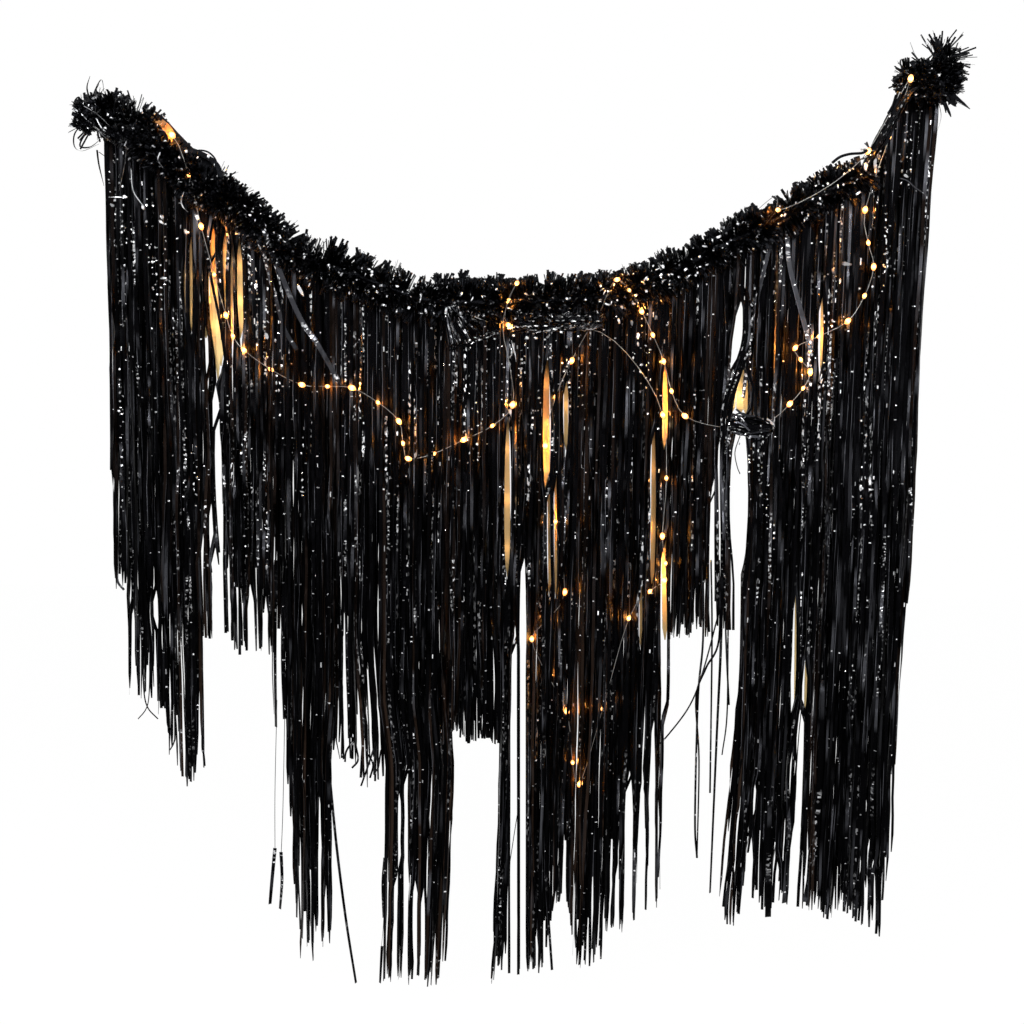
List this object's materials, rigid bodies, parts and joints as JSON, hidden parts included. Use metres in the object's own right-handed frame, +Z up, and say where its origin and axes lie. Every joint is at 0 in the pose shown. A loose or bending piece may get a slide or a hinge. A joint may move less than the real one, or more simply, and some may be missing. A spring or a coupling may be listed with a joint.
{
  "type": "fringe door curtain",
  "caption": "Swagged black tinsel garland with foil fringe in stepped lengths, a warm white micro light wire woven through it, hanging loops and a hidden battery case.",
  "frame": {"origin": "middle of the left hanging loop, where the nail goes through", "axes": "+X along the curtain to the right as seen from the front, +Y from the viewer to the wall, +Z up"},
  "size_m": [1.0859, 0.0826, 1.2447],
  "materials": {
    "tinsel_film": "glossy black cut film",
    "metallised_foil": "mirror-like black metallised film",
    "black_twine": "matte twisted cord",
    "silvered_wire": "silvered copper wire under clear lacquer",
    "warm_resin": "clear resin over a warm white LED",
    "case_plastic": "fine matte moulding",
    "switch_plastic": "satin moulding",
    "cell_wrap": "plain shrink wrap",
    "nickel_contact": "bright nickel plate"
  },
  "bodies": {
    "garland": {"garland_slice_1": "tinsel_film", "garland_slice_2": "tinsel_film", "garland_slice_3": "tinsel_film", "garland_slice_4": "tinsel_film", "garland_slice_5": "tinsel_film", "garland_slice_6": "tinsel_film", "garland_slice_7": "tinsel_film", "garland_slice_8": "tinsel_film", "garland_slice_9": "tinsel_film", "garland_neck": "tinsel_film", "left_end_tuft": "tinsel_film", "right_end_tuft": "tinsel_film", "hanging_loop_left": "black_twine", "hanging_loop_right": "black_twine", "light_wire": "silvered_wire", "tail_led": "warm_resin", "battery_case": "case_plastic", "aa_cell_1": "cell_wrap", "aa_cell_2": "cell_wrap", "contact_spring_1": "nickel_contact", "contact_spring_2": "nickel_contact", "contact_bridge": "nickel_contact", "contact_plate_1": "nickel_contact", "contact_plate_2": "nickel_contact", "wire_grommet": "case_plastic", "case_tie": "black_twine"},
    "back_panel_1": {"fringe_back_1": "metallised_foil"},
    "back_panel_2": {"fringe_back_2": "metallised_foil"},
    "back_panel_3": {"fringe_back_3": "metallised_foil"},
    "back_panel_4": {"fringe_back_4": "metallised_foil"},
    "back_panel_5": {"fringe_back_5": "metallised_foil"},
    "back_panel_6": {"fringe_back_6": "metallised_foil"},
    "back_panel_7": {"fringe_back_7": "metallised_foil"},
    "back_panel_8": {"fringe_back_8": "metallised_foil"},
    "back_panel_9": {"fringe_back_9": "metallised_foil"},
    "back_panel_10": {"fringe_back_10": "metallised_foil"},
    "back_panel_11": {"fringe_back_11": "metallised_foil"},
    "back_panel_12": {"fringe_back_12": "metallised_foil"},
    "front_panel_1": {"fringe_front_1": "metallised_foil"},
    "front_panel_2": {"fringe_front_2": "metallised_foil"},
    "front_panel_3": {"fringe_front_3": "metallised_foil"},
    "front_panel_4": {"fringe_front_4": "metallised_foil"},
    "front_panel_5": {"fringe_front_5": "metallised_foil"},
    "front_panel_6": {"fringe_front_6": "metallised_foil", "gathered_knot": "metallised_foil"},
    "cover": {"battery_cover": "case_plastic"},
    "switch": {"switch_slider": "switch_plastic"}
  },
  "joints": [
    {"name": "back_panel_1_swing", "type": "hinge", "parent": "garland", "child": "back_panel_1", "pos_m": [0.0732, 0.007, -0.0126], "axis": [1, 0, 0], "range_deg": [0, 45]},
    {"name": "back_panel_2_swing", "type": "hinge", "parent": "garland", "child": "back_panel_2", "pos_m": [0.1743, 0.007, -0.0898], "axis": [1, 0, 0], "range_deg": [0, 45]},
    {"name": "back_panel_3_swing", "type": "hinge", "parent": "garland", "child": "back_panel_3", "pos_m": [0.259, 0.007, -0.1493], "axis": [1, 0, 0], "range_deg": [0, 45]},
    {"name": "back_panel_4_swing", "type": "hinge", "parent": "garland", "child": "back_panel_4", "pos_m": [0.328, 0.007, -0.1918], "axis": [1, 0, 0], "range_deg": [0, 45]},
    {"name": "back_panel_5_swing", "type": "hinge", "parent": "garland", "child": "back_panel_5", "pos_m": [0.3991, 0.007, -0.2098], "axis": [1, 0, 0], "range_deg": [0, 45]},
    {"name": "back_panel_6_swing", "type": "hinge", "parent": "garland", "child": "back_panel_6", "pos_m": [0.477, 0.007, -0.2285], "axis": [1, 0, 0], "range_deg": [0, 45]},
    {"name": "back_panel_7_swing", "type": "hinge", "parent": "garland", "child": "back_panel_7", "pos_m": [0.5602, 0.007, -0.2219], "axis": [1, 0, 0], "range_deg": [0, 45]},
    {"name": "back_panel_8_swing", "type": "hinge", "parent": "garland", "child": "back_panel_8", "pos_m": [0.6697, 0.007, -0.1848], "axis": [1, 0, 0], "range_deg": [0, 45]},
    {"name": "back_panel_9_swing", "type": "hinge", "parent": "garland", "child": "back_panel_9", "pos_m": [0.7482, 0.007, -0.1625], "axis": [1, 0, 0], "range_deg": [0, 45]},
    {"name": "back_panel_10_swing", "type": "hinge", "parent": "garland", "child": "back_panel_10", "pos_m": [0.7903, 0.007, -0.1427], "axis": [1, 0, 0], "range_deg": [0, 45]},
    {"name": "back_panel_11_swing", "type": "hinge", "parent": "garland", "child": "back_panel_11", "pos_m": [0.8635, 0.007, -0.0848], "axis": [1, 0, 0], "range_deg": [0, 45]},
    {"name": "back_panel_12_swing", "type": "hinge", "parent": "garland", "child": "back_panel_12", "pos_m": [0.9782, 0.007, 0.0465], "axis": [1, 0, 0], "range_deg": [0, 45]},
    {"name": "front_panel_1_swing", "type": "hinge", "parent": "garland", "child": "front_panel_1", "pos_m": [0.0558, -0.007, -0.0167], "axis": [1, 0, 0], "range_deg": [-45, 0]},
    {"name": "front_panel_2_swing", "type": "hinge", "parent": "garland", "child": "front_panel_2", "pos_m": [0.2538, -0.007, -0.1526], "axis": [1, 0, 0], "range_deg": [-45, 0]},
    {"name": "front_panel_3_swing", "type": "hinge", "parent": "garland", "child": "front_panel_3", "pos_m": [0.4217, -0.007, -0.2242], "axis": [1, 0, 0], "range_deg": [-45, 0]},
    {"name": "front_panel_4_swing", "type": "hinge", "parent": "garland", "child": "front_panel_4", "pos_m": [0.4681, -0.007, -0.2291], "axis": [1, 0, 0], "range_deg": [-45, 0]},
    {"name": "front_panel_5_swing", "type": "hinge", "parent": "garland", "child": "front_panel_5", "pos_m": [0.5713, -0.007, -0.2217], "axis": [1, 0, 0], "range_deg": [-45, 0]},
    {"name": "front_panel_6_swing", "type": "hinge", "parent": "garland", "child": "front_panel_6", "pos_m": [0.8245, -0.007, -0.1224], "axis": [1, 0, 0], "range_deg": [-45, 0]},
    {"name": "cover_slide", "type": "slide", "parent": "garland", "child": "cover", "axis": [1, 0, 0], "range_m": [0, 0.06]},
    {"name": "switch_slide", "type": "slide", "parent": "garland", "child": "switch", "axis": [1, 0, 0], "range_m": [-0.003, 0]}
  ]
}
